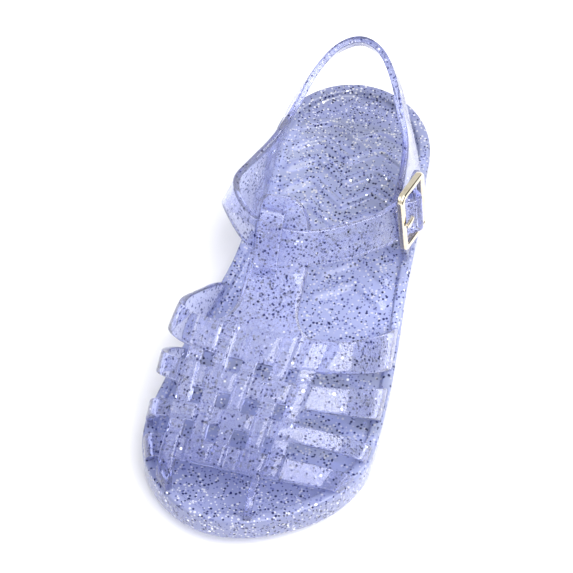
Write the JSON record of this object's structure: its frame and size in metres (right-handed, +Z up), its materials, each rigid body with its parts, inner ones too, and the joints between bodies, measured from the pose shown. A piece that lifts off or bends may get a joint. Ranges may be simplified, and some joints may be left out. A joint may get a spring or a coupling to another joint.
{
  "type": "moulded jelly sandal",
  "caption": "Child's moulded jelly sandal for the left foot: woven strap cage, T-bar, buckled ankle strap, heel sling and a ribbed sole.",
  "frame": {"origin": "bottom centre of the whole sandal's box, on the floor that it stands on", "axes": "+Y from toe to heel, +X to the lateral side with the buckle, +Z up"},
  "size_m": [0.0646, 0.1578, 0.0542],
  "materials": {
    "sole": "translucent soft PVC with glitter, glossy from the mould",
    "upper": "translucent soft PVC with glitter, glossy from the mould",
    "buckle_frame": "pale gold plating, polished",
    "buckle_prong": "pale gold plating, polished"
  },
  "bodies": {
    "root": {"sole": "sole", "upper": "upper", "buckle_frame": "buckle_frame", "buckle_prong": "buckle_prong"}
  },
  "joints": []
}
